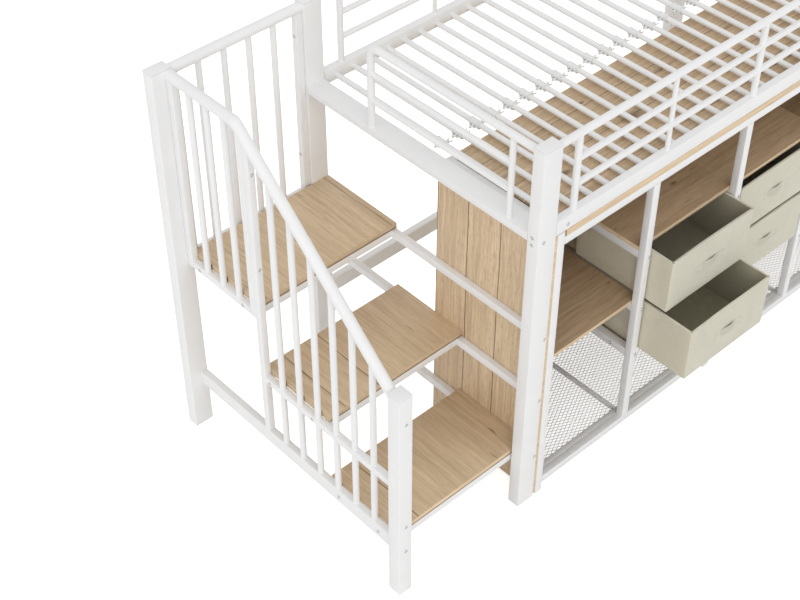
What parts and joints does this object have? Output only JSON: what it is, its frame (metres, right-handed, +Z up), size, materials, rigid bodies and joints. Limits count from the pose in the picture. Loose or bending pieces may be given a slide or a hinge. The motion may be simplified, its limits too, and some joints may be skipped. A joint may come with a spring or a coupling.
{
  "type": "loft bed with storage",
  "caption": "Raised metal bed frame with a guard rail round it, a side staircase and, under its front edge, a shelf unit with fabric drawers.",
  "frame": {"origin": "on the floor, under the middle of the outline seen from above, with the left drawers pulled out as at rest", "axes": "+X along the bed, away from the stairs; +Y from the front of the bed, where the drawers open, to its back; +Z up"},
  "size_m": [2.538, 1.273, 1.486],
  "materials": {
    "white_metal": "satin",
    "oak_board": "satin",
    "drawer_fabric": "matte"
  },
  "bodies": {
    "frame": {"end_rail_left": "white_metal", "end_rail_right": "white_metal", "guard_back": "white_metal", "guard_end_left": "white_metal", "guard_end_right": "white_metal", "guard_front": "white_metal", "long_rail_back": "white_metal", "long_rail_front": "white_metal", "lower_rail_back": "white_metal", "lower_rail_right": "white_metal", "mesh_floor_1": "white_metal", "mesh_floor_2": "white_metal", "mesh_floor_3": "white_metal", "mesh_floor_4": "white_metal", "post_back_left": "white_metal", "post_back_right": "white_metal", "post_front_left": "white_metal", "post_front_right": "white_metal", "shelf_bay_1": "oak_board", "shelf_bay_2": "oak_board", "shelf_bay_3": "oak_board", "shelf_bay_4": "oak_board", "side_panel_left": "oak_board", "side_panel_right": "oak_board", "slat_grid": "white_metal", "stair_guard_back": "white_metal", "stair_guard_lower": "white_metal", "stair_guard_upper": "white_metal", "stair_newel": "white_metal", "stair_post_back": "white_metal", "stair_side_rail": "white_metal", "step_board_1": "oak_board", "step_board_2": "oak_board", "step_board_3": "oak_board", "step_stringer_1": "white_metal", "step_stringer_2": "white_metal", "step_stringer_3": "white_metal", "step_tube_back_1": "white_metal", "step_tube_back_2": "white_metal", "step_tube_back_3": "white_metal", "step_tube_front_1": "white_metal", "step_tube_front_2": "white_metal", "step_tube_front_3": "white_metal", "unit_back_panel": "oak_board", "unit_bottom_rail_front_left": "white_metal", "unit_bottom_rail_front_right": "white_metal", "unit_bottom_rail_rear_left": "white_metal", "unit_bottom_rail_rear_right": "white_metal", "unit_divider_1": "white_metal", "unit_divider_2": "white_metal", "unit_divider_3": "white_metal", "unit_divider_4": "white_metal", "unit_divider_5": "white_metal", "unit_top_board": "oak_board", "unit_top_rail_front": "white_metal", "unit_top_rail_rear": "white_metal"},
    "drawer_left_lower": {"drawer_left_lower": "drawer_fabric"},
    "drawer_left_upper": {"drawer_left_upper": "drawer_fabric"},
    "drawer_right_lower": {"drawer_right_lower": "drawer_fabric"},
    "drawer_right_upper": {"drawer_right_upper": "drawer_fabric"}
  },
  "joints": [
    {"name": "drawer_left_lower_slide", "type": "slide", "parent": "frame", "child": "drawer_left_lower", "axis": [0, -1, 0], "range_m": [-0.198, 0.102]},
    {"name": "drawer_left_upper_slide", "type": "slide", "parent": "frame", "child": "drawer_left_upper", "axis": [0, -1, 0], "range_m": [-0.086, 0.214]},
    {"name": "drawer_right_lower_slide", "type": "slide", "parent": "frame", "child": "drawer_right_lower", "axis": [0, -1, 0], "range_m": [0, 0.3]},
    {"name": "drawer_right_upper_slide", "type": "slide", "parent": "frame", "child": "drawer_right_upper", "axis": [0, -1, 0], "range_m": [0, 0.3]}
  ]
}
